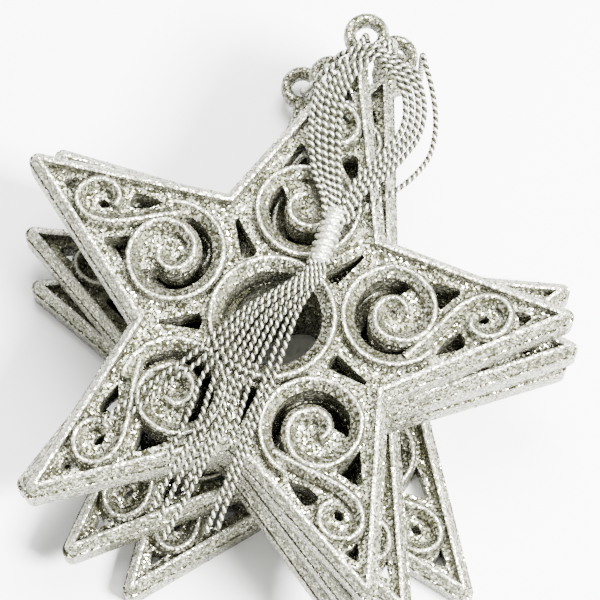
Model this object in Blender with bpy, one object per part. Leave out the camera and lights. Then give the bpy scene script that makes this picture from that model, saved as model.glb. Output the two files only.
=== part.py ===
"""A bunch of five moulded star ornaments with a glitter finish, lying in a fanned stack.

Each star is an openwork plate with a hanging ring at one tip.  A thin metallic cord goes
through every ring; the five cord loops are tied together in one wrapped knot and their
ten ends spread out over the top star.  Metres, +Z up, the floor is z = 0.
"""
import math

import bmesh
import bpy
from mathutils import Matrix, Vector

MM = 0.001
NAME = "star_ornament_bunch"

# --- the star (mm) -----------------------------------------------------------------
ARMS = 5
APEX = 53.6            # where the two straight edges of an arm would meet
VALLEY = 24.05         # radius of the inner corner between two arms
TIP_ROUND = 1.6
THICK = 7.5
GAP = 0.3              # left between one star and the next
PITCH = THICK + GAP
RING_AT = 53.9         # centre of the hanging ring, out along its arm
RING_OUT = 3.7
RING_HOLE = 1.65
RING_THICK = 4.0
RING_DROP = 0.4        # the ring's top lies this far below the star's top
NECK_HALF = 1.7
NECK_FROM = 47.5
CENTRE_HOLE = 8.4

# --- the stack: centre x, centre y, direction of the arm with the ring (mm, degrees) ---
# listed from the top star down, measured from the top star's centre
STACK = ((0.0, 0.0, 72.6), (1.3, 0.6, 68.2), (0.17, 1.06, 66.9), (0.75, 0.2, 79.9),
         (4.66, 0.4, 89.5))
HEIGHT = ARMS * THICK + (len(STACK) - 1) * GAP

# --- the cords (mm) ---------------------------------------------------------------
CORD = 0.9
STEP = 2.3             # spacing of the points along a cord
KNOT_TOP = (10.8, 18.2, 2.15)
KNOT_END = (7.7, 8.4, 2.15)
KNOT_WIDE = 4.2
KNOT_HIGH = 3.4
ABOVE = 0.86           # height of a cord's centre where it lies on the top star
SECOND = 1.28          # rise from one layer of cords to the next

SILVER = (0.62, 0.62, 0.60)
CORD_SILVER = (0.66, 0.66, 0.64)


def clear_scene():
    for item in list(bpy.data.objects):
        bpy.data.objects.remove(item, do_unlink=True)


def collection(name):
    group = bpy.data.collections.new(name)
    bpy.context.scene.collection.children.link(group)
    return group


def material(name, colour, rough, metal):
    mat = bpy.data.materials.new(name)
    mat.use_nodes = True
    shader = mat.node_tree.nodes["Principled BSDF"]
    shader.inputs["Base Color"].default_value = (*colour, 1.0)
    shader.inputs["Roughness"].default_value = rough
    shader.inputs["Metallic"].default_value = metal
    mat.diffuse_color = (*colour, 1.0)
    return mat


def polar(radius, degrees, centre=(0.0, 0.0)):
    a = math.radians(degrees)
    return Vector((centre[0] + radius * math.cos(a), centre[1] + radius * math.sin(a)))


def turned(point, degrees):
    a = math.radians(degrees)
    return Vector((point[0] * math.cos(a) - point[1] * math.sin(a),
                   point[0] * math.sin(a) + point[1] * math.cos(a)))


def arc(centre, radius, start, end, count):
    return [polar(radius, start + (end - start) * i / (count - 1), centre) for i in range(count)]


def rounded(corners, radius, steps):
    """A closed outline with every corner rounded to the same radius."""
    out = []
    for i, corner in enumerate(corners):
        p = Vector(corner)
        a = (Vector(corners[i - 1]) - p).normalized()
        b = (Vector(corners[(i + 1) % len(corners)]) - p).normalized()
        half = a.angle(b) / 2
        centre = p + (a + b).normalized() * radius / math.sin(half)
        first = p + a * radius / math.tan(half) - centre
        last = p + b * radius / math.tan(half) - centre
        turn = (math.atan2(last.y, last.x) - math.atan2(first.y, first.x) + math.pi) % math.tau - math.pi
        out += [centre + turned(first, math.degrees(turn) * k / steps) for k in range(steps + 1)]
    return out


def star_outline():
    """The outer edge: five rounded tips and five sharp valleys."""
    out = []
    for arm in range(ARMS):
        at = 360 / ARMS * arm
        tip = rounded([polar(VALLEY, -180 / ARMS), polar(APEX, 0), polar(VALLEY, 180 / ARMS)],
                      TIP_ROUND, 5)[6:12]
        out += [turned(p, at) for p in tip]
        out.append(polar(VALLEY, at + 180 / ARMS))
    return out


def arm_holes():
    """The gaps of one arm's scrollwork; the arm points along +X."""
    loop = arc((20.4, 0.3), 6.9, 78, 300, 11)
    curl = arc((21.2, 0.7), 4.9, 296, 84, 9)
    upper = rounded([(25.7, 7.0), (27.7, 1.2), (32.3, 4.7)], 0.5, 2)
    lower = rounded([(26.8, -6.9), (32.6, -5.2), (32.0, -2.2)], 0.5, 2)
    tip = rounded([(40.3, 1.4), (41.6, -1.6), (44.0, 0.2)], 0.4, 2)
    slot = [turned(p, 180 / ARMS) for p in
            [(12.0, 0.0), (12.5, -1.4), (14.0, -1.2), (16.5, -0.7), (19.2, -0.3),
             (19.2, 0.3), (16.5, 0.7), (14.0, 1.2), (12.5, 1.4)]]
    return [loop + curl, upper, lower, tip, slot]


def flat_solid(name, outlines, low, high):
    """A flat plate cut to the outlines, the first outside and the others holes."""
    curve = bpy.data.curves.new(name, "CURVE")
    curve.dimensions = "2D"
    curve.fill_mode = "BOTH"
    curve.extrude = (high - low) / 2 * MM
    for outline in outlines:
        spline = curve.splines.new("POLY")
        spline.points.add(len(outline) - 1)
        for point, p in zip(spline.points, outline):
            point.co = (p[0] * MM, p[1] * MM, 0, 1)
        spline.use_cyclic_u = True
    maker = bpy.data.objects.new(name, curve)
    maker.location = (0, 0, (high + low) / 2 * MM)
    bpy.context.scene.collection.objects.link(maker)
    bpy.context.view_layer.update()
    mesh = bpy.data.meshes.new_from_object(maker.evaluated_get(bpy.context.evaluated_depsgraph_get()))
    mesh.transform(maker.matrix_world)
    bpy.data.objects.remove(maker, do_unlink=True)
    bpy.data.curves.remove(curve)
    tidy(mesh)
    return mesh


def tidy(mesh):
    work = bmesh.new()
    work.from_mesh(mesh)
    bmesh.ops.remove_doubles(work, verts=work.verts, dist=0.000005)
    bmesh.ops.recalc_face_normals(work, faces=work.faces)
    work.to_mesh(mesh)
    work.free()


def joined(name, body, extra, group, cutters):
    """The union of two meshes."""
    thing = bpy.data.objects.new(name, body)
    other = bpy.data.objects.new(name + "_ring_shape", extra)
    group.objects.link(thing)
    cutters.objects.link(other)
    other.hide_render = True
    other.display_type = "WIRE"
    union = thing.modifiers.new("ring", "BOOLEAN")
    union.operation = "UNION"
    union.solver = "EXACT"
    union.object = other
    return thing


def ring_outline():
    """The hanging ring with its short neck, as one outline along +X."""
    open_half = math.degrees(math.asin(NECK_HALF / RING_OUT))
    circle = arc((RING_AT, 0.0), RING_OUT, -180 + open_half, 180 - open_half, 21)
    return circle + [Vector((NECK_FROM, NECK_HALF)), Vector((NECK_FROM, -NECK_HALF))]


def star_mesh(name):
    """One star, arm with the ring along +X, top face at z = 0."""
    holes = [arc((0, 0), CENTRE_HOLE, 0, 348, 30)]
    for arm in range(ARMS):
        holes += [[turned(p, 360 / ARMS * arm) for p in hole] for hole in arm_holes()]
    return flat_solid(name, [star_outline()] + holes, -THICK, 0)


def ring_mesh(name):
    hole = arc((RING_AT, 0.0), RING_HOLE, 0, 340, 18)
    return flat_solid(name, [ring_outline(), hole], -RING_DROP - RING_THICK, -RING_DROP)


def ring_centre(layer):
    x, y, way = STACK[layer]
    return polar(RING_AT, way, (x, y))


def stack_shift():
    """Puts the middle of the stack at the origin and its lowest face on the floor."""
    xs, ys = [], []
    for x, y, way in STACK:
        for p in star_outline() + ring_outline():
            q = turned(p, way)
            xs.append(q.x + x)
            ys.append(q.y + y)
    return Vector((-(min(xs) + max(xs)) / 2, -(min(ys) + max(ys)) / 2, HEIGHT))


def add_star(layer, shift, group, cutters, mat):
    """A star turned to its place, with its origin at the middle of its ring's hole."""
    name = "star_%d" % (layer + 1)
    hinge = ring_centre(layer)
    place = Vector((hinge.x, hinge.y, -PITCH * layer)) + shift
    turn = Matrix.Rotation(math.radians(STACK[layer][2]), 4, "Z")
    back = Matrix.Translation((-RING_AT * MM, 0, 0))
    body, ring = star_mesh(name), ring_mesh(name + "_ring")
    for mesh in (body, ring):
        mesh.transform(turn @ back)
    thing = joined(name, body, ring, group, cutters)
    body.materials.append(mat)
    thing.location = place * MM
    thing.modifiers["ring"].object.location = place * MM
    return thing


def smooth_path(route, step):
    """A smooth curve through the route points, cut into even steps."""
    p = [Vector(q) for q in route]
    p = [p[0] * 2 - p[1]] + p + [p[-1] * 2 - p[-2]]
    fine = []
    for i in range(1, len(p) - 2):
        for k in range(12):
            t = k / 12
            fine.append(0.5 * (2 * p[i] + (p[i + 1] - p[i - 1]) * t
                               + (2 * p[i - 1] - 5 * p[i] + 4 * p[i + 1] - p[i + 2]) * t * t
                               + (3 * p[i] - p[i - 1] - 3 * p[i + 1] + p[i + 2]) * t ** 3))
    fine.append(p[-2])
    total = sum((b - a).length for a, b in zip(fine, fine[1:]))
    count = max(2, round(total / step))
    out, gone, want = [fine[0]], 0.0, total / count
    for a, b in zip(fine, fine[1:]):
        length = (b - a).length
        while gone + length >= want * len(out) and len(out) < count:
            out.append(a.lerp(b, (want * len(out) - gone) / length))
        gone += length
    return out + [fine[-1]]


def add_cord(name, route, shift, group, mat):
    """A round cord along a route."""
    curve = bpy.data.curves.new(name, "CURVE")
    curve.dimensions = "3D"
    curve.bevel_depth = CORD / 2 * MM
    curve.bevel_resolution = 2
    curve.use_fill_caps = True
    points = smooth_path(route, STEP)
    spline = curve.splines.new("POLY")
    spline.points.add(len(points) - 1)
    for point, p in zip(spline.points, points):
        point.co = (*((p + shift) * MM), 1)
    curve.materials.append(mat)
    thing = bpy.data.objects.new(name, curve)
    group.objects.link(thing)
    return thing


def knot_slot(end, index, away):
    """Where strand number index leaves an end of the knot; ten strands in two layers."""
    top, low = Vector(KNOT_TOP), Vector(KNOT_END)
    along = (low - top).normalized()
    side = Vector((along.y, -along.x, 0))
    start = top - along * away if end == "top" else low + along * away
    lift = SECOND / 2 if index % 2 else -SECOND / 2
    return start + side * (4.5 - index) * 0.73 + Vector((0, 0, lift))


def left_strand(index):
    """One strand of the left side of the bunch, from the knot up over the top arm."""
    lift = SECOND / 2 if index % 2 else -SECOND / 2
    middle = [(9.75, 24.8), (9.3, 30.3), (9.5, 35.8), (10.7, 40.2)]
    spread = (1.15, 1.1, 1.0, 0.95)
    out = [knot_slot("top", index, 1.3)]
    for (x, y), pitch in zip(middle, spread):
        out.append(Vector((x + (index - 2) * pitch, y - (index - 2) * 0.1, ABOVE + SECOND / 2 + lift)))
    return out


def right_strand(index):
    """One strand of the right side, from beside the rings back to the knot."""
    if index == 4:
        side = [(25.4, 44.6, -2.0), (27.7, 41.3, -3.5), (28.3, 35.9, -4.0), (27.0, 29.4, -3.0),
                (23.3, 24.3, -0.6), (18.6, 20.0, 1.6)]
        return [Vector(p) for p in side] + [knot_slot("top", 9, 1.3)]
    lift = -SECOND / 2 if index % 2 else SECOND / 2
    middle = [(22.6, 44.2, 0.6, 0.8), (23.9, 41.4, -0.4, 1.0), (24.0, 37.8, -0.6, 1.0), (22.6, 33.2, -0.1, 1.0),
              (19.9, 28.6, 1.25, 0.95), (16.6, 24.4, 1.6, 0.8)]
    across = [(0.95, 0.3), (1, 0), (1, 0), (0.93, -0.3), (0.8, -0.6), (0.8, -0.6)]
    out = []
    for (x, y, z, wide), (ax, ay) in zip(middle, across):
        off = (index - 1.5) * 1.3 * wide
        out.append(Vector((x + off * ax, y + off * ay, z + lift)))
    return out + [knot_slot("top", 5 + index, 1.3)]


def under_ring(hole, out, layer):
    """Down through the hole, under the ring and up beside it, ring of the given layer."""
    low = -PITCH * layer - RING_DROP - RING_THICK
    hole, out = Vector(hole), Vector(out)
    shares = ((0.0, low + 1.0), (0.15, low - 0.95), (0.5, low - 1.0), (0.96, low - 0.75), (1.0, low + 1.0))
    return [(*hole.lerp(out, share), z) for share, z in shares]


def straight_down(point, layer):
    """The free part of a cord between the top of the stack and a lower ring."""
    bottom = -PITCH * layer
    return [(point[0], point[1], -1.6), (point[0], point[1], (bottom - 3.0) / 2)] if layer else []


def loop_route(layer):
    """One hanger: up the left side, through its star's ring and back down the right side."""
    ring = ring_centre(layer)
    strand = {4: 0, 3: 1, 0: 2, 1: 3, 2: 4}[layer]
    low = ABOVE
    if layer == 0:
        # the top star's cord goes down beside its ring and comes up through the hole
        out = polar(4.95, 196, ring)
        near = [(out.x + 0.2, out.y - 2.4, low + 0.6), (out.x, out.y, -1.0)]
        near += list(reversed(under_ring(ring, out, layer)))
        near += [(ring.x, ring.y, -1.6), (ring.x + 0.3, ring.y - 0.4, low + 0.7),
                 (ring.x + 2.0, ring.y - 2.4, low + SECOND), (21.2, 46.7, low + SECOND)]
    elif layer in (1, 2):
        side, way, arch = (0.66, 300, 46.9) if layer == 1 else (-0.66, -4, 44.8)
        hole = Vector((ring.x + side * 0.3, ring.y + side))
        out = polar(4.95, way, ring)
        near = [(15.6, arch - 0.6, low), (18.1, arch + (1.8 if layer == 1 else 0.8), low),
                (hole.x - (1.0 if layer == 1 else 0.4), hole.y - (0.5 if layer == 1 else 1.1), low)]
        near += straight_down(hole, layer) + under_ring(hole, out, layer) + straight_down(out, layer)[::-1]
        if layer == 2:
            near.append((26.6, 47.6, -1.2))
    else:
        hole = Vector(ring)
        out = polar(4.95, 118 if layer == 3 else 172, ring)
        high = low + SECOND * (2 if layer == 3 else 3)
        near = [(hole.x - 0.7, hole.y - 2.8, low + 0.4)]
        near += straight_down(hole, layer) + under_ring(hole, out, layer) + straight_down(out, layer)[::-1]
        if layer == 3:
            near += [(out.x + 1.4, out.y - 1.4, high), (9.5, 52.0, high), (14.4, 48.0, high), (19.0, 45.6, high - 0.3)]
        else:
            near += [(out.x + 0.6, out.y - 0.9, high - 0.3), (5.5, 52.2, high), (13.6, 46.4, high),
                     (17.6, 44.4, high), (19.6, 43.7, high - 1.0)]
    return left_strand(strand) + [Vector(p) for p in near] + right_strand(strand)


# Where the ten ends lie after they leave the knot, from left to right (mm).  The third number
# is 1 on the second layer of cords, 0 on the top star, and a drop in mm when it is negative.
TAILS = (
    ((-5.2, 0.9, 0), (-12.4, -6.2, 0), (-18.6, -10.9, 0), (-25.2, -16.1, 0), (-28.4, -18.5, 0)),
    ((-4.1, 0.9, 1), (-11.0, -6.8, 0.5), (-16.9, -11.8, 0), (-23.0, -16.6, 0)),
    ((-3.05, 0.9, 0), (-7.4, -4.6, 0), (-10.8, -9.4, 0), (-12.4, -12.6, 0), (-13.6, -16.3, 0),
     (-15.3, -20.4, 0), (-17.1, -24.1, 0)),
    ((-2.0, 0.9, 1), (-6.0, -5.6, 1), (-9.1, -10.2, 0.3), (-10.4, -13.5, 0), (-11.6, -17.1, 0),
     (-13.1, -20.8, 0), (-15.0, -24.4, 0), (-16.9, -27.8, -0.4), (-18.5, -30.5, -1.1), (-19.8, -33.0, -2.2)),
    ((-0.95, 0.9, 0), (-4.8, -5.5, 0), (-7.6, -10.4, 0), (-9.0, -14.6, 0), (-10.2, -18.0, 0),
     (-11.6, -21.4, 0), (-13.4, -24.9, 0), (-15.3, -28.4, -0.4), (-16.9, -31.5, -1.4), (-18.5, -34.4, -2.8)),
    ((0.1, 0.9, 1), (-3.7, -6.1, 1), (-6.1, -10.9, 0.3), (-7.6, -14.9, 0), (-8.8, -18.3, 0),
     (-10.2, -21.8, 0), (-11.8, -25.0, 0), (-13.4, -27.8, -0.3), (-14.6, -30.1, -0.9)),
    ((1.15, 0.9, 0), (-2.5, -5.9, 0), (-4.8, -10.9, 0), (-6.2, -15.2, 0), (-7.5, -18.7, 0),
     (-8.85, -22.1, 0), (-10.6, -25.6, 0), (-12.6, -29.3, -0.6), (-15.1, -33.4, -2.3), (-17.7, -37.4, -4.9)),
    ((2.2, 0.9, 1), (-1.0, -6.3, 1), (-3.1, -10.9, 0.3), (-4.6, -14.9, 0), (-5.8, -18.3, 0),
     (-7.05, -21.6, 0)),
    ((3.35, 0.9, 0), (0.7, -5.5, 0), (-1.2, -10.1, 0), (-2.7, -14.0, 0), (-4.0, -17.5, 0),
     (-5.3, -20.8, 0), (-6.3, -24.3, 0), (-7.7, -28.5, -0.5), (-9.3, -32.7, -2.0), (-11.0, -36.5, -4.2)),
    ((4.4, 0.9, 1), (2.3, -5.2, 1), (0.7, -9.8, 0.3), (-0.8, -14.0, 0), (-2.3, -17.5, 0),
     (-3.7, -21.2, 0), (-4.8, -24.6, 0), (-6.1, -28.3, -0.5), (-7.6, -32.2, -1.8), (-9.1, -35.9, -3.8)),
)


def tail_route(index):
    """A loose end, from the knot over the top star; the longer ones reach past its edge and droop."""
    rest = [Vector((x, y, ABOVE + (z * SECOND if z >= 0 else z))) for x, y, z in TAILS[index]]
    return [knot_slot("low", index, 1.3)] + rest


def add_knot(shift, group, mat):
    """The wrapped knot: a short flattened barrel round all the strands."""
    top, low = Vector(KNOT_TOP), Vector(KNOT_END)
    along = (low - top).normalized()
    side = Vector((along.y, -along.x, 0))
    length = (low - top).length
    mesh = bpy.data.meshes.new("hanger_knot")
    work = bmesh.new()
    rings = []
    for share, size in ((0.0, 0.74), (0.06, 0.93), (0.25, 1.0), (0.5, 0.95), (0.75, 1.0), (0.94, 0.93), (1.0, 0.74)):
        ring = []
        for k in range(16):
            a = math.tau * k / 16
            p = (top + along * length * share + side * math.cos(a) * KNOT_WIDE / 2 * size
                 + Vector((0, 0, 1)) * math.sin(a) * KNOT_HIGH / 2 * size)
            ring.append(work.verts.new((p + shift) * MM))
        rings.append(ring)
    for a, b in zip(rings, rings[1:]):
        for k in range(16):
            work.faces.new((a[k], a[(k + 1) % 16], b[(k + 1) % 16], b[k]))
    work.faces.new(rings[0])
    work.faces.new(list(reversed(rings[-1])))
    bmesh.ops.recalc_face_normals(work, faces=work.faces)
    work.to_mesh(mesh)
    work.free()
    mesh.materials.append(mat)
    group.objects.link(bpy.data.objects.new("hanger_knot", mesh))


def build():
    clear_scene()
    group = collection(NAME)
    cutters = collection("cutters")
    glitter = [material("glitter_%d" % (i + 1), SILVER, 0.38, 0.6) for i in range(len(STACK))]
    thread = material("metallic_cord", CORD_SILVER, 0.35, 0.7)
    wrap = material("knot_cord", CORD_SILVER, 0.4, 0.7)
    shift = stack_shift()
    for layer in range(len(STACK)):
        add_star(layer, shift, group, cutters, glitter[layer])
    add_knot(shift, group, wrap)
    for layer in range(len(STACK)):
        add_cord("hanger_loop_%d" % (layer + 1), loop_route(layer), shift, group, thread)
    for index in range(len(TAILS)):
        add_cord("hanger_tail_%d" % (index + 1), tail_route(index), shift, group, thread)


build()
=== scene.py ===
import math
import bmesh
import bpy
import numpy as np
from mathutils import Matrix, Vector


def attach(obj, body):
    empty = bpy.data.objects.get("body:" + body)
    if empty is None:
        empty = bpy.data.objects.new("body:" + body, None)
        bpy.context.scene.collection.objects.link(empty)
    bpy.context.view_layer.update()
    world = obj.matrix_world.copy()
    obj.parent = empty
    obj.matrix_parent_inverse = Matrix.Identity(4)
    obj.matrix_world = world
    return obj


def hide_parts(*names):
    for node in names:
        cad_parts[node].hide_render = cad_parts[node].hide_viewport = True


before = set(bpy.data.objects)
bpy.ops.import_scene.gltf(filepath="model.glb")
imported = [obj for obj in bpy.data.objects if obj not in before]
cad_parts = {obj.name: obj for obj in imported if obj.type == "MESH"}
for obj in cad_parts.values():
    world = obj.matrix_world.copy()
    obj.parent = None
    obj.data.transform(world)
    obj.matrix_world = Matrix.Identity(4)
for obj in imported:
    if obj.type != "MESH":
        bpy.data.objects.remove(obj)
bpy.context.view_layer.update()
MM = 0.001
# The middle of the top star's upper face. Routes and star sizes below are in mm from this point.
TOP = Vector((-4.490, -4.546, 38.7))
THICK = 7.5
PITCH = 7.8


# ---- camera -------------------------------------------------------------------------
# A long lens a little in front of straight overhead.
# It looks down at 18 degrees from upright.
def add_camera():
    lens = bpy.data.cameras.new("camera")
    lens.lens = 178.5
    lens.sensor_width = 36
    lens.clip_end = 10
    camera = bpy.data.objects.new("camera", lens)
    camera.location = (Vector((4.67, -151.69, 475.53)) + TOP) * MM
    camera.rotation_euler = (math.radians(18), 0, 0)
    bpy.context.scene.collection.objects.link(camera)
    bpy.context.scene.camera = camera


add_camera()


# ---- materials ----------------------------------------------------------------------
# Silver glitter for the stars and two-tone metallic thread for the cords.
# Grain size and noise follow Object coordinates.
class Sock:
    """A shader socket that can be used in sums, so the node maths reads like maths."""

    def __init__(self, tree, socket):
        self.tree, self.socket = tree, socket

    def node(self, kind, settings=None, inputs=None, out=0):
        made = self.tree.nodes.new(kind)
        for key, value in (settings or {}).items():
            setattr(made, key, value)
        for key, value in (inputs or {}).items():
            if isinstance(value, Sock):
                self.tree.links.new(value.socket, made.inputs[key])
            else:
                made.inputs[key].default_value = value
        return Sock(self.tree, made.outputs[out])

    def math(self, how, other):
        return self.node("ShaderNodeMath", {"operation": how}, {0: self, 1: other})

    def __add__(self, other):
        return self.math("ADD", other)

    def __mul__(self, other):
        return self.math("MULTIPLY", other)

    def __sub__(self, other):
        return self.math("SUBTRACT", other)


def new_material(name, rough, metal):
    mat = bpy.data.materials.new(name)
    mat.use_nodes = True
    shader = mat.node_tree.nodes["Principled BSDF"]
    shader.inputs["Roughness"].default_value = rough
    shader.inputs["Metallic"].default_value = metal
    place = Sock(mat.node_tree, None).node("ShaderNodeTexCoord", out=3)
    return mat, shader, place


def plug(value, shader, name):
    value.tree.links.new(value.socket, shader.inputs[name])


def between(shade, dark, light):
    """The colour at a shade from 0 (dark) to 1 (light)."""
    return shade.node("ShaderNodeMix", {"data_type": "RGBA", "clamp_factor": True},
                      {0: shade, 6: (*dark, 1), 7: (*light, 1)}, out=2)


def glitter_material(name, grain, light, dark, lean):
    """Fine glitter: every grain has its own tilt, brightness and polish, and a painted highlight makes the raised
    crests brighter.
    """
    mat, shader, place = new_material(name, 0.3, 0.75)
    cell = place.node("ShaderNodeTexVoronoi", {"feature": "F1"},
                      {"Vector": place, "Scale": 1 / (grain * MM)}, out=1)
    spark, polish = [cell.node("ShaderNodeSeparateColor", {}, {0: cell}, out=i) for i in (0, 1)]
    cloud = place.node("ShaderNodeTexNoise", {}, {"Vector": place, "Scale": 260.0, "Detail": 3.0})
    crest = place.node("ShaderNodeAttribute", {"attribute_name": "crest"}, out=2)
    # Painted highlight: the crest attribute lifts the base colour on the raised lines, where the light catches
    # them.
    shade = spark.math("POWER", 2.0) * 0.62 + cloud * 0.22 + crest * 0.5 - 0.2
    plug(between(shade, dark, light), shader, "Base Color")
    plug(polish * 0.35 + 0.14, shader, "Roughness")
    push = cell.node("ShaderNodeVectorMath", {"operation": "SUBTRACT"}, {0: cell, 1: (0.5, 0.5, 0.5)})
    push = push.node("ShaderNodeVectorMath", {"operation": "SCALE"}, {0: push, "Scale": lean})
    facing = place.node("ShaderNodeNewGeometry", out=1)
    tilted = push.node("ShaderNodeVectorMath", {"operation": "ADD"}, {0: facing, 1: push})
    tilted = tilted.node("ShaderNodeVectorMath", {"operation": "NORMALIZE"}, {0: tilted})
    plug(tilted, shader, "Normal")
    return mat


def thread_material(name, light, dark):
    """One ply of metallic thread, flecked from light to dark."""
    mat, shader, place = new_material(name, 0.32, 0.7)
    fleck = place.node("ShaderNodeTexNoise", {}, {"Vector": place, "Scale": 2600.0, "Detail": 2.0})
    plug(between((fleck - 0.35) * 2.6, dark, light), shader, "Base Color")
    plug(fleck * 0.4 + 0.12, shader, "Roughness")
    return mat


silver_glitter = glitter_material("silver_glitter", 0.31, (0.84, 0.83, 0.7), (0.06, 0.06, 0.03), 0.7)
silver_cord = thread_material("silver_cord", (0.9, 0.9, 0.8), (0.45, 0.45, 0.37))
dark_cord = thread_material("dark_cord", (0.05, 0.05, 0.03), (0.015, 0.015, 0.008))


# ---- cord shapes --------------------------------------------------------------------
# Thin two-ply metallic cord, one ply bright and one dark.
# Every cord is swept along a smooth line through its route.
LOOP_DIAMETER, TAIL_DIAMETER = 1.06, 0.92
TWIST = 1.35
PLY_OFFSET, PLY_RADIUS = 0.235, 0.285
STEPS_PER_TWIST = 8


def smooth(route, step):
    """Points a step apart on a smooth line through a route, and how far along each one is."""
    p = [Vector(q) for q in route]
    p = [p[0] * 2 - p[1]] + p + [p[-1] * 2 - p[-2]]
    fine = []
    for i in range(1, len(p) - 2):
        for k in range(16):
            t = k / 16
            fine.append(0.5 * (2 * p[i] + (p[i + 1] - p[i - 1]) * t
                               + (2 * p[i - 1] - 5 * p[i] + 4 * p[i + 1] - p[i + 2]) * t * t
                               + (3 * p[i] - p[i - 1] - 3 * p[i + 1] + p[i + 2]) * t ** 3))
    fine.append(p[-2])
    fine = np.array([tuple(q) for q in fine])
    along = np.concatenate([[0], np.cumsum(np.linalg.norm(np.diff(fine, axis=0), axis=1))])
    want = np.linspace(0, along[-1], max(3, int(round(along[-1] / step)) + 1))
    return np.stack([np.interp(want, along, fine[:, i]) for i in range(3)], axis=1), want


def mesh_object(name, verts, faces, mat):
    mesh = bpy.data.meshes.new(name)
    mesh.from_pydata([tuple(v) for v in (np.array(verts) + np.array(TOP)) * MM], [], faces)
    mesh.materials.append(mat)
    mesh.shade_smooth()
    thing = bpy.data.objects.new(name, mesh)
    bpy.context.scene.collection.objects.link(thing)
    return thing


def unit(rows):
    return rows / np.linalg.norm(rows, axis=1)[:, None]


def carry_on(side, tangent):
    """Turns each sideways direction to follow the one before it, so a tube doesn't twist."""
    for i in range(1, len(side)):
        side[i] = side[i - 1] - tangent[i] * (side[i - 1] @ tangent[i])
        side[i] /= np.linalg.norm(side[i])


def ply_tube(centres, radius, verts, faces, sides=6, flat=1.0):
    """Adds one closed tube round a line of points."""
    centres = np.asarray(centres)
    tangent = unit(np.gradient(centres, axis=0))
    side = np.cross(tangent, np.array([0.0, 0.0, 1.0]))
    upright = np.linalg.norm(side, axis=1) < 0.15
    side[upright] = np.cross(tangent[upright], np.array([0.0, 1.0, 0.0]))
    side = unit(side)
    carry_on(side, tangent)
    other = np.cross(side, tangent)
    base = len(verts)
    for c, a, b in zip(centres, side, other):
        for k in range(sides):
            w = math.tau * k / sides
            verts.append(c + radius * (math.cos(w) * a + flat * math.sin(w) * b))
    for i in range(len(centres) - 1):
        for k in range(sides):
            q, r = base + i * sides, (k + 1) % sides
            faces.append((q + k, q + r, q + sides + r, q + sides + k))
    faces.append(tuple(base + k for k in reversed(range(sides))))
    faces.append(tuple(base + (len(centres) - 1) * sides + k for k in range(sides)))


def cord(name, node, route, diameter, phase):
    """A twisted cord along a route. It stands for a CAD node and rides with the top star."""
    line, along = smooth(route, TWIST / STEPS_PER_TWIST)
    tangent = unit(np.gradient(line, axis=0))
    side = np.cross(tangent, np.array([0.0, 0.0, 1.0]))
    side[np.linalg.norm(side, axis=1) < 0.15] = (1, 0, 0)
    carry_on(side, tangent)
    side[0] = side[1]
    other = np.cross(side, tangent)
    verts, faces = [], []
    for ply in range(2):
        w = phase + math.pi * ply + math.tau * along / TWIST
        offset = np.cos(w)[:, None] * side + np.sin(w)[:, None] * other
        ply_tube(line + offset * diameter * PLY_OFFSET, diameter * PLY_RADIUS, verts, faces)
    thing = mesh_object(name, verts, faces, silver_cord)
    thing.data.materials.append(dark_cord)
    for face in thing.data.polygons[len(faces) // 2:]:
        face.material_index = 1
    path = (line + np.array(TOP)) * MM
    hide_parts(node)
    [tuple(p) for p in path[::3]] + [tuple(path[-1])]
    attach(thing, "top_star")


KNOT_TOP, KNOT_END = Vector((10.8, 18.2, 1.9)), Vector((7.7, 8.4, 1.9))
knot_way = (KNOT_END - KNOT_TOP).normalized()
knot_side = Vector((knot_way.y, -knot_way.x, 0))


def at_knot(end, across, up):
    """A point just inside an end of the knot."""
    start = KNOT_TOP + knot_way * 2.2 if end == "top" else KNOT_END - knot_way * 1.5
    return tuple(start + knot_side * across + Vector((0, 0, up)))


# ---- hanger loops -------------------------------------------------------------------
# Each loop leaves the knot up the left side, goes through its own star's ring and comes
# back down the right side. Strand 0 is the outermost on the left.
STRAND_OF_LAYER = (2, 3, 4, 1, 0)
STRAND_LIFT = (0.25, -0.2, 0.3, -0.1, 0.15)
RIGHT_PLACE = {4: -1.5, 3: -0.5, 0: 0.5, 1: 1.5}
# x, y, z of the middle strand and how far apart the strands are there
LEFT_SIDE = ((9.9, 20.4, 1.6, 0.66), (9.2, 24.8, 1.2, 1.0), (8.9, 30.3, 1.1, 1.14), (9.1, 35.4, 1.1, 1.18))
# x, y, z of the middle of the right side and the direction across it there
RIGHT_SIDE = ((20.2, 46.3, 1.8, 0.4, 1.0), (23.1, 43.3, 0.5, 0.95, 0.55), (24.4, 38.6, -0.7, 1.08, 0.1),
              (23.7, 33.6, -0.9, 1.04, -0.25), (20.9, 29.2, -0.3, 0.92, -0.5), (17.4, 25.1, 0.8, 0.8, -0.5),
              (14.3, 21.8, 1.6, 0.6, -0.45))
# the third star's loop stands clear of the others on the right
STRAY_SIDE = [(26.4, 46.2, -1.8), (27.3, 43.2, -2.8), (28.0, 39.0, -3.8), (28.0, 34.6, -3.9),
              (26.7, 29.4, -3.0), (23.1, 24.3, -0.6), (18.2, 20.3, 1.0), (13.9, 17.6, 1.5)]


def left_strand(strand, lift):
    off = strand - 2
    points = [at_knot("top", 1.3 - 0.36 * strand, lift)]
    for x, y, z, wide in LEFT_SIDE:
        points.append((x + off * wide, y - off * 0.1, z + lift * 0.6))
    points.append((9.9 + off * 1.1, 40.2 - off * 0.35, 1.2 + lift * 0.6))
    return points


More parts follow.
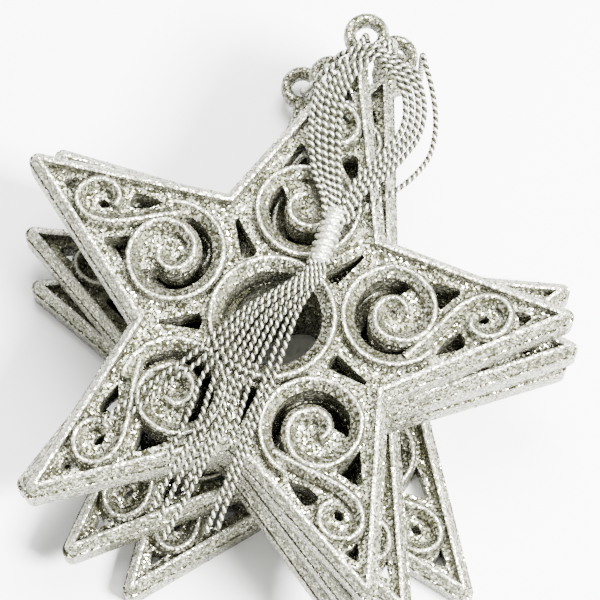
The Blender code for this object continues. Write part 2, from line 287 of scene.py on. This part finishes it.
def through_ring(layer, off, lift):
    """Over the top star's tip, down through a star's ring and out again."""
    under = -PITCH * layer - 4.9
    arch = [(12.3 + off * 0.95, 44.7 - off * 0.65, 1.5 + lift), (15.3 + off * 0.7, 47.2 - off * 0.8, 1.9 + lift)]
    routes = (
        arch[:1] + [(14.2, 47.6, 1.7), (15.6, 50.1, 0.7), (16.2, 51.6, -1.6), (16.6, 51.4, -4.4),
                    (18.2, 49.8, -5.5), (20.0, 48.0, -4.2), (20.3, 47.4, -1.0)],
        arch + [(18.6, 48.4, 1.4), (20.6, 50.2, -0.8), (21.3, 50.9, -5.0), (21.6, 50.8, under + 0.8),
                (22.9, 48.7, under - 0.4), (24.3, 46.9, under + 1.0), (24.3, 46.4, -6.0)],
        arch + [(18.9, 47.2, 1.2), (20.7, 49.4, -0.8), (21.2, 50.3, -6.0), (21.3, 50.5, under + 1.1),
                (23.4, 50.2, under - 0.55), (25.9, 49.8, under + 1.2), (26.0, 49.4, -10.0), (26.0, 48.6, -3.2)],
        [(10.2, 43.4, 1.4), (9.4, 45.5, -0.6), (9.8, 49.6, -14.0), (10.2, 52.9, -24.0), (10.6, 53.6, -27.6),
         (12.6, 53.6, -28.9), (14.3, 53.0, -27.4), (13.9, 52.0, -23.0), (11.4, 48.2, -5.5), (11.3, 47.2, -0.3),
         (12.6, 46.9, 2.3), (15.6, 47.7, 2.7), (18.0, 47.6, 2.5)],
        [(6.9, 42.2, -0.9), (5.8, 48.0, -18.0), (5.2, 53.0, -30.0), (5.3, 54.3, -35.0), (7.0, 54.2, -36.5),
         (8.9, 53.4, -34.6), (8.6, 52.3, -30.6), (6.8, 50.0, -26.5), (6.9, 47.0, -17.0), (8.0, 44.2, -2.4),
         (9.0, 43.8, 1.0), (12.0, 45.3, 2.4), (15.6, 46.4, 2.7), (18.0, 46.3, 2.4)],
    )
    return routes[layer]


def right_strand(layer, lift):
    if layer not in RIGHT_PLACE:
        return STRAY_SIDE
    place = RIGHT_PLACE[layer]
    # the two upper rings send their cords up beside the tip, past the first point
    first = 1 if layer in (0, 1) else 0
    return [(x + place * ax, y + place * ay, z + lift * 0.7) for x, y, z, ax, ay in RIGHT_SIDE[first:]]


for layer, strand in enumerate(STRAND_OF_LAYER):
    lift = STRAND_LIFT[strand]
    end = at_knot("top", -0.5 - 0.36 * strand, 0.2 - lift)
    route = left_strand(strand, lift) + through_ring(layer, strand - 2, lift) + right_strand(layer, lift) + [end]
    cord("hanger_loop_cord_%d" % (layer + 1), "hanger_loop_%d" % (layer + 1), route, LOOP_DIAMETER,
         layer * 1.1)


# ---- loose ends ---------------------------------------------------------------------
# Ten ends fan out from the lower end of the knot over the top star.
# The longer ones hang past its edge.
TAIL_ROUTES = (
    ((4.5, 6.6, 1.6), (-5.0, 0.7, 0.9), (-12.4, -6.2, 0.8), (-18.6, -10.9, 0.75), (-25.2, -16.1, 0.75),
     (-28.6, -18.7, 0.75)),
    ((4.9, 6.3, 2.3), (-3.8, 0.5, 1.7), (-10.6, -7.0, 1.2), (-16.9, -11.7, 0.8), (-20.2, -14.5, 0.75),
     (-23.2, -16.9, 0.75)),
    ((5.1, 6.1, 1.3), (-3.0, 0.4, 0.9), (-7.2, -4.8, 0.8), (-10.8, -9.4, 0.75), (-12.3, -12.4, 0.75),
     (-13.5, -16.3, 0.75), (-15.2, -20.4, 0.75), (-17.3, -24.7, 0.75)),
    ((5.4, 5.9, 2.4), (-2.2, 0.3, 1.8), (-6.0, -5.6, 1.5), (-9.1, -10.2, 0.9), (-10.4, -13.5, 0.75),
     (-11.5, -17.1, 0.75), (-13.0, -20.8, 0.75), (-14.9, -24.4, 0.75), (-16.8, -27.8, 0.4), (-18.4, -30.6, -0.3),
     (-19.6, -33.1, -1.4)),
    ((5.7, 5.8, 1.4), (-1.1, 0.2, 0.9), (-4.8, -5.5, 0.8), (-7.6, -10.4, 0.75), (-9.0, -14.6, 0.75),
     (-10.3, -18.0, 0.75), (-11.8, -21.4, 0.75), (-13.4, -24.8, 0.75), (-15.3, -28.3, 0.4), (-16.9, -31.4, -0.5),
     (-18.6, -34.4, -2.0)),
    ((6.0, 5.6, 2.3), (-0.2, 0.2, 1.7), (-3.7, -6.1, 1.4), (-6.1, -10.9, 0.9), (-7.6, -14.9, 0.75),
     (-8.8, -18.3, 0.75), (-10.3, -21.8, 0.75), (-11.8, -25.0, 0.75), (-13.3, -27.7, 0.5), (-14.5, -30.1, 0.0)),
    ((6.3, 5.4, 1.4), (0.9, 0.2, 0.9), (-2.5, -5.9, 0.8), (-4.8, -10.9, 0.75), (-6.3, -15.2, 0.75),
     (-7.6, -18.7, 0.75), (-9.2, -22.1, 0.75), (-10.9, -25.5, 0.7), (-12.9, -29.2, 0.1), (-15.3, -33.4, -1.5),
     (-18.0, -37.5, -4.1)),
    ((6.6, 5.3, 2.3), (2.0, 0.2, 1.6), (-1.2, -6.3, 1.3), (-3.3, -10.9, 0.8), (-4.6, -14.9, 0.75),
     (-5.6, -18.3, 0.75), (-6.9, -22.4, 0.75)),
    ((6.9, 5.1, 1.4), (3.2, 0.3, 0.9), (0.7, -5.5, 0.8), (-0.8, -10.1, 0.75), (-2.3, -14.0, 0.75),
     (-3.5, -17.5, 0.75), (-4.5, -20.9, 0.75), (-5.8, -24.5, 0.7), (-7.3, -28.5, 0.2), (-9.1, -32.7, -1.2),
     (-10.9, -36.6, -3.4)),
    ((7.2, 5.0, 2.2), (4.4, 0.4, 1.6), (2.3, -5.2, 1.2), (0.7, -9.8, 0.75), (-0.8, -14.0, 0.75),
     (-2.3, -17.5, 0.75), (-3.6, -21.2, 0.75), (-4.7, -24.4, 0.7), (-6.0, -28.3, 0.3), (-7.5, -32.2, -1.0),
     (-9.0, -36.0, -3.0)),
)

for index, route in enumerate(TAIL_ROUTES):
    start = at_knot("low", 1.5 - index * 0.33, 0.5 if index % 2 else -0.5)
    cord("hanger_end_%d" % (index + 1), "hanger_tail_%d" % (index + 1), [start] + list(route), TAIL_DIAMETER,
         index * 0.7)


# ---- knot ---------------------------------------------------------------------------
# The same cord wound tightly round all ten strands.
# A plain core stands for the gathered strands inside it.
WINDS = 8
STEPS_PER_WIND = 18
WIND_LENGTH = 9.0
HALF_WIDTH, HALF_HEIGHT, SLANT = 1.72, 1.3, 0.35


def wrapped_knot():
    share = np.linspace(0, 1, WINDS * STEPS_PER_WIND)
    swell = 0.72 + 0.28 * np.sin(np.pi * share) ** 0.6
    angle = share * WINDS * math.tau
    length = (KNOT_END - KNOT_TOP).length
    top, way, side = (np.array(v)[None] for v in (KNOT_TOP, knot_way, knot_side))
    axis = top + way * (share[:, None] * length)
    wound = (axis + way * (SLANT * np.cos(angle))[:, None]
             + side * (np.cos(angle) * HALF_WIDTH * swell)[:, None]
             + np.array([0, 0, 1.0])[None] * (np.sin(angle) * HALF_HEIGHT * swell)[:, None])
    outward = unit(wound - axis)
    verts, faces = [], []
    for ply in range(2):
        w = math.pi * ply + math.tau * share * WINDS * WIND_LENGTH / TWIST
        twisted = wound + outward * (0.2 * np.cos(w))[:, None] + way * (0.2 * np.sin(w))[:, None]
        ply_tube(twisted, 0.3, verts, faces)
    core = top + way * (np.linspace(0.03, 0.97, 12)[:, None] * length)
    ply_tube(core, 1.45, verts, faces, sides=14, flat=0.75)
    return mesh_object("wrapped_knot", verts, faces, silver_cord)


knot = wrapped_knot()
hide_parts("hanger_knot")
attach(knot, "top_star")


# ---- star shapes --------------------------------------------------------------------
# One star has its ring along +X and its crests at z = 0.
# Every part of it is a flat plate with holes or a cross-section swept along a line.
ARMS, ARM_TURN = 5, 72
APEX, VALLEY = 53.6, 24.05
TIP_HALF_ANGLE, VALLEY_HALF_ANGLE = 22.5, 58.5
FLOOR = -2.4
FOOT = -3.0


def polar(radius, degrees, centre=(0.0, 0.0)):
    a = np.radians(degrees)
    return np.stack([centre[0] + radius * np.cos(a), centre[1] + radius * np.sin(a)], axis=-1)


def turn(points, degrees):
    a = math.radians(degrees)
    p = np.asarray(points, float)
    out = p.copy()
    out[..., 0] = p[..., 0] * math.cos(a) - p[..., 1] * math.sin(a)
    out[..., 1] = p[..., 0] * math.sin(a) + p[..., 1] * math.cos(a)
    return out


def outline(inset, tip_round):
    """The star's edge moved inwards by a distance, with rounded tips."""
    half = math.radians(TIP_HALF_ANGLE)
    apex = APEX - inset / math.sin(half)
    valley = VALLEY - inset / math.sin(math.radians(VALLEY_HALF_ANGLE))
    centre = apex - tip_round / math.sin(half)
    sweep = np.linspace(TIP_HALF_ANGLE - 90, 90 - TIP_HALF_ANGLE, 7)
    out = []
    for arm in range(ARMS):
        out += [turn(p, ARM_TURN * arm) for p in polar(tip_round, sweep, (centre, 0))]
        out.append(polar(valley, ARM_TURN * (arm + 0.5)))
    return np.array(out)


def band(path, profile, closed, verts, faces):
    """Sweeps a cross-section (across, height) along a flat line, corners mitred.

    The profile is one cross-section, or one for every point of the line."""
    path = np.asarray(path, float)
    if closed:
        ahead, behind = np.roll(path, -1, 0) - path, path - np.roll(path, 1, 0)
    else:
        ahead = np.vstack([np.diff(path, axis=0), path[-1:] - path[-2:-1]])
        behind = np.vstack([path[1:2] - path[:1], np.diff(path, axis=0)])
    ahead, behind = unit(ahead), unit(behind)
    along = unit(ahead + behind)
    stretch = 1 / np.clip(np.sum(along * ahead, axis=1), 0.6, 1)
    left = np.stack([-along[:, 1], along[:, 0]], axis=1) * stretch[:, None]
    rows = len(path)
    if np.ndim(profile) == 2:
        profile = [profile] * rows
    base, n = len(verts), len(profile[0])
    for p, l, section in zip(path, left, profile):
        for across, z in section:
            q = p + l * across
            verts.append((q[0], q[1], z))
    for i in range(rows if closed else rows - 1):
        for k in range(n - 1):
            a, b = base + i * n, base + (i + 1) % rows * n
            faces.append((a + k, b + k, b + k + 1, a + k + 1))
    if not closed:
        faces.append(tuple(base + k for k in range(n)))
        faces.append(tuple(base + (rows - 1) * n + k for k in reversed(range(n))))


def curve_through(points, step):
    line, _ = smooth([(x, y, 0) for x, y in points], step)
    return line[:, :2]


def hole_through(points, step):
    """A smooth closed hole; its last point is the first one again, so it is left off."""
    return curve_through(list(points) + [points[0]], step)[:-1]


def ridge(outer, inner, crest):
    """A strip with one crest line and a flank falling away on either side of it."""
    crest = min(max(crest, inner + 0.55), outer - 0.55)
    outer_fall, inner_fall = 0.4 * (outer - crest), 0.4 * (crest - inner)
    return [(outer, FOOT), (outer, -0.42 - outer_fall), (outer - 0.12, -0.3 - outer_fall),
            (crest + 0.4, -0.28), (crest + 0.22, -0.05), (crest, 0.0), (crest - 0.22, -0.05), (crest - 0.4, -0.28),
            (inner + 0.12, -0.3 - inner_fall), (inner, -0.42 - inner_fall), (inner, FOOT)]


def plate(outlines, low, high, bevel):
    """A flat plate with its holes, edges slightly rounded."""
    curve = bpy.data.curves.new("plate", "CURVE")
    curve.dimensions, curve.fill_mode = "2D", "BOTH"
    curve.extrude = ((high - low) / 2 - bevel) * MM
    curve.bevel_depth, curve.bevel_resolution = bevel * MM, 1
    curve.offset = -bevel * MM
    for line in outlines:
        spline = curve.splines.new("POLY")
        spline.points.add(len(line) - 1)
        for point, p in zip(spline.points, line):
            point.co = (p[0] * MM, p[1] * MM, 0, 1)
        spline.use_cyclic_u = True
    maker = bpy.data.objects.new("plate", curve)
    bpy.context.scene.collection.objects.link(maker)
    bpy.context.view_layer.update()
    mesh = bpy.data.meshes.new_from_object(maker.evaluated_get(bpy.context.evaluated_depsgraph_get()))
    bpy.data.objects.remove(maker, do_unlink=True)
    mesh.transform(Matrix.Translation((0, 0, (high + low) / 2 * MM)))
    return mesh


# ---- openings -----------------------------------------------------------------------
# Each arm has a crescent inside its scroll, two gaps beside the S-shaped strip, one near
# the tip and one in the small curl. A slot points at each valley. The arm lies along +X.
SCROLL_HUB = (20.5, 0.3)
# how far round the scroll, and there the radius of its middle line and of its crest
SCROLL_TURNS = np.array([60, 180, 270, 360, 450, 540, 630, 700])
SCROLL_RADII = np.array([8.3, 7.9, 7.7, 6.2, 4.3, 3.1, 2.3, 1.5])
CREST_RADII = np.array([9.1, 8.75, 8.6, 7.1, 4.4, 3.2, 2.9, 2.3])
SCROLL_START, SCROLL_END = -50, -700


def scroll(shift, start, end, count):
    """A line beside the scroll's middle line, shifted away from its hub."""
    a = np.linspace(start, end, count)
    return polar(np.interp(-a, SCROLL_TURNS, SCROLL_RADII) + shift, a, SCROLL_HUB)


def arm_openings():
    crescent = np.vstack([scroll(-1.15, -72, -300, 38), scroll(1.3, -640, -432, 32)])
    upper = hole_through([(26.2, 6.6), (29.0, 5.9), (31.9, 4.7), (29.7, 2.7), (28.3, 1.7), (27.5, 3.9)], 0.5)
    lower = hole_through([(27.3, -6.4), (29.2, -3.9), (31.6, -2.6), (32.3, -4.9), (30.0, -5.9)], 0.5)
    tip = hole_through([(40.6, 1.3), (43.7, 0.2), (41.8, -1.4), (41.5, 0.0)], 0.4)
    side = [(11.9, 0.6), (12.4, 1.45), (14.0, 1.2), (16.5, 0.75), (19.2, 0.35)]
    slot = [side[0]] + [(x, -y) for x, y in side] + side[:0:-1]
    curl = hole_through([(34.2, -0.6), (35.4, 0.35), (36.6, -0.1), (36.0, -1.0), (34.9, -0.9)], 0.35)
    return [crescent, upper, lower, tip, turn(slot, ARM_TURN / 2), curl]


def star_plate():
    openings = [polar(8.4, np.linspace(0, 354, 60))]
    for arm in range(ARMS):
        openings += [turn(hole, ARM_TURN * arm) for hole in arm_openings()]
    return plate([outline(0.06, 1.55)] + openings, -THICK, FLOOR, 0.12)


# ---- raised lines and hanging ring --------------------------------------------------
# A rim close to the edge, a ring round the middle opening, and on each arm a scroll and
# an S-shaped strip. The hanging ring is a rounded hoop, a little thinner than the star.
RIM = [(-1.05, -7.55), (-1.05, -0.32), (-0.97, -0.1), (-0.72, 0.0), (-0.42, -0.06), (-0.18, -0.35), (0.15, -0.9),
       (0.6, -1.5), (0.7, -2.8)]
S_STRIP = [(22.3, -7.4), (26.0, -4.2), (30.0, -0.2), (33.0, 2.1), (36.0, 3.1), (38.8, 2.3), (39.9, 0.0),
           (38.6, -2.7), (36.1, -3.6), (33.9, -2.5), (33.6, -0.7)]
HOOP_AT, HOOP_RADIUS = 54.3, 2.95
HOOP = [(1.05, -2.4), (0.98, -1.5), (0.75, -0.85), (0.35, -0.5), (0.0, -0.42), (-0.35, -0.5), (-0.75, -0.85),
        (-0.98, -1.5), (-1.05, -2.4), (-0.98, -3.3), (-0.75, -3.95), (0.0, -4.4), (0.75, -3.95), (0.98, -3.3),
        (1.05, -2.4)]
NECK = [(1.7, -4.4), (1.7, -1.1), (1.3, -0.6), (0.0, -0.42), (-1.3, -0.6), (-1.7, -1.1), (-1.7, -4.4)]


def raised_parts():
    verts, faces = [], []
    band(outline(1.05, 0.75)[::-1], RIM, True, verts, faces)
    band(polar(9.75, np.linspace(0, 357, 90)), ridge(1.35, -1.35, -0.75), True, verts, faces)
    scroll_line = scroll(0.0, SCROLL_START, SCROLL_END, 130)
    round_hub = np.linspace(-SCROLL_START, -SCROLL_END, 130)
    crests = (np.interp(round_hub, SCROLL_TURNS, CREST_RADII)
              - np.interp(round_hub, SCROLL_TURNS, SCROLL_RADII))
    strip_line = curve_through(S_STRIP, 0.5)
    for arm in range(ARMS):
        band(turn(scroll_line, ARM_TURN * arm), [ridge(1.2, -1.2, c) for c in crests], False, verts, faces)
        band(turn(strip_line, ARM_TURN * arm), ridge(1.05, -1.05, 0.25), False, verts, faces)
    band(polar(HOOP_RADIUS, np.linspace(0, 348, 30), (HOOP_AT, 0)), HOOP, True, verts, faces)
    band([(48.0, 0), (49.5, 0), (51.6, 0)], NECK, False, verts, faces)
    return verts, faces


def bare_star():
    """The star without its grains. Its crest attribute, the mask of the painted highlight, is 1 on the raised
    lines and 0 below them.
    """
    work = bmesh.new()
    work.from_mesh(star_plate())
    verts, faces = raised_parts()
    made = [work.verts.new(Vector(v) * MM) for v in verts]
    for face in faces:
        work.faces.new([made[i] for i in face])
    bmesh.ops.recalc_face_normals(work, faces=work.faces)
    mesh = bpy.data.meshes.new("star")
    work.to_mesh(mesh)
    work.free()
    mesh.shade_smooth()
    mesh.set_sharp_from_angle(angle=math.radians(42))
    places = np.empty(len(mesh.vertices) * 3)
    mesh.vertices.foreach_get("co", places)
    # Painted highlight mask: 1 at crest height, falling to 0 within 0.28 mm below it.
    crest = np.clip(1 + places[2::3] / (0.28 * MM), 0, 1)
    shade = mesh.attributes.new("crest", "FLOAT", "POINT")
    shade.data.foreach_set("value", crest.astype(np.float32))
    mesh.materials.clear()
    mesh.materials.append(silver_glitter)
    return mesh


# ---- grains -------------------------------------------------------------------------
# Flakes of glitter that stand a little off the surface, scattered by Geometry Nodes.
# The underside has none, so that stacked stars don't touch there.
LOWEST_GRAIN = -0.0072
GRAINS_PER_M2 = 900000.0
tree = bpy.data.node_groups.new("grains", "GeometryNodeTree")
tree.interface.new_socket("Geometry", in_out="INPUT", socket_type="NodeSocketGeometry")
per_area = tree.interface.new_socket("Grains per square metre", in_out="INPUT", socket_type="NodeSocketFloat")
tree.interface.new_socket("Geometry", in_out="OUTPUT", socket_type="NodeSocketGeometry")


def geo(kind, inputs=None, **settings):
    made = tree.nodes.new(kind)
    for key, value in settings.items():
        setattr(made, key, value)
    for key, value in (inputs or {}).items():
        if isinstance(value, bpy.types.NodeSocket):
            tree.links.new(value, made.inputs[key])
        else:
            made.inputs[key].default_value = value
    return made


entry, leave = geo("NodeGroupInput"), geo("NodeGroupOutput")
where = geo("ShaderNodeSeparateXYZ", {"Vector": geo("GeometryNodeInputPosition").outputs[0]})
above = geo("FunctionNodeCompare", {0: where.outputs[2], 1: LOWEST_GRAIN}, operation="GREATER_THAN")
spread = geo("GeometryNodeDistributePointsOnFaces",
             {"Mesh": entry.outputs[0], "Selection": above.outputs[0], "Density": entry.outputs[1], "Seed": 7})
flake = geo("GeometryNodeMeshCone", {"Vertices": 5, "Side Segments": 1, "Radius Top": 0.00006,
                                     "Radius Bottom": 0.00016, "Depth": 0.0001}, fill_type="NGON")
size = geo("FunctionNodeRandomValue", {2: 0.55, 3: 1.25, "Seed": 3}, data_type="FLOAT")
lean = geo("FunctionNodeRandomValue", {0: (-0.7, -0.7, 0.0), 1: (0.7, 0.7, 6.28), "Seed": 5},
           data_type="FLOAT_VECTOR")
tilt = geo("FunctionNodeRotateRotation", {0: spread.outputs["Rotation"], 1: lean.outputs[0]},
           rotation_space="LOCAL")
put = geo("GeometryNodeInstanceOnPoints", {"Points": spread.outputs["Points"], "Instance": flake.outputs["Mesh"],
                                           "Rotation": tilt.outputs[0], "Scale": size.outputs[1]})
real = geo("GeometryNodeRealizeInstances", {0: put.outputs[0]})
paint = geo("GeometryNodeSetMaterial", {"Geometry": real.outputs[0], "Material": silver_glitter})
both = geo("GeometryNodeJoinGeometry")
tree.links.new(entry.outputs[0], both.inputs[0])
tree.links.new(paint.outputs[0], both.inputs[0])
tree.links.new(both.outputs[0], leave.inputs[0])


def with_grains(mesh):
    holder = bpy.data.objects.new("star", mesh)
    bpy.context.scene.collection.objects.link(holder)
    scatter = holder.modifiers.new("grains", "NODES")
    scatter.node_group = tree
    scatter[per_area.identifier] = GRAINS_PER_M2
    bpy.context.view_layer.update()
    baked = bpy.data.meshes.new_from_object(holder.evaluated_get(bpy.context.evaluated_depsgraph_get()))
    bpy.data.objects.remove(holder, do_unlink=True)
    return baked


# ---- the five stars -----------------------------------------------------------------
# Equal copies of one star, one above another and fanned a little.
# Each row is x, y and the direction of the ring in degrees, then the body it rides with.
STACK = ((0.0, 0.0, 72.6, "top_star"), (1.3, 0.6, 68.2, "second_star"), (0.17, 1.06, 66.9, "third_star"),
         (0.75, 0.2, 79.9, "fourth_star"), (4.66, 0.4, 89.5, "bottom_star"))

glitter_star = with_grains(bare_star())
for layer, (x, y, way, body) in enumerate(STACK):
    mesh = glitter_star.copy()
    place = (Vector((x, y, -PITCH * layer)) + TOP) * MM
    mesh.transform(Matrix.Translation(place) @ Matrix.Rotation(math.radians(way), 4, "Z"))
    star = bpy.data.objects.new("glitter_star_%d" % (layer + 1), mesh)
    bpy.context.scene.collection.objects.link(star)
    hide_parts("star_%d" % (layer + 1))
    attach(star, body)
bpy.data.meshes.remove(glitter_star)


# ---- floor and light ----------------------------------------------------------------
# A plain white floor under an even white sky.
# A key lamp from the right and a wider one overhead make the grains sparkle.
def add_floor():
    mesh = bpy.data.meshes.new("floor")
    mesh.from_pydata([(-3, -3, 0), (3, -3, 0), (3, 3, 0), (-3, 3, 0)], [], [(0, 1, 2, 3)])
    floor = bpy.data.objects.new("floor", mesh)
    bpy.context.scene.collection.objects.link(floor)
    white, shader, _ = new_material("white_floor", 0.9, 0.0)
    shader.inputs["Base Color"].default_value = (0.97, 0.97, 0.97, 1)
    mesh.materials.append(white)


def add_sky(strength):
    world = bpy.data.worlds.new("studio")
    world.use_nodes = True
    world.node_tree.nodes["Background"].inputs["Color"].default_value = (1, 1, 1, 1)
    world.node_tree.nodes["Background"].inputs["Strength"].default_value = strength
    bpy.context.scene.world = world


def lamp(name, place, size, watts):
    light = bpy.data.lights.new(name, "AREA")
    light.energy, light.size = watts, size
    thing = bpy.data.objects.new(name, light)
    thing.location = place
    thing.rotation_euler = (Vector((0, 0, 0.02)) - Vector(place)).to_track_quat("-Z", "Y").to_euler()
    bpy.context.scene.collection.objects.link(thing)


add_floor()
add_sky(0.95)
lamp("key", (0.5, -0.24, 0.76), 0.26, 72.0)
lamp("top", (0.1, 0.35, 0.9), 0.5, 34.0)
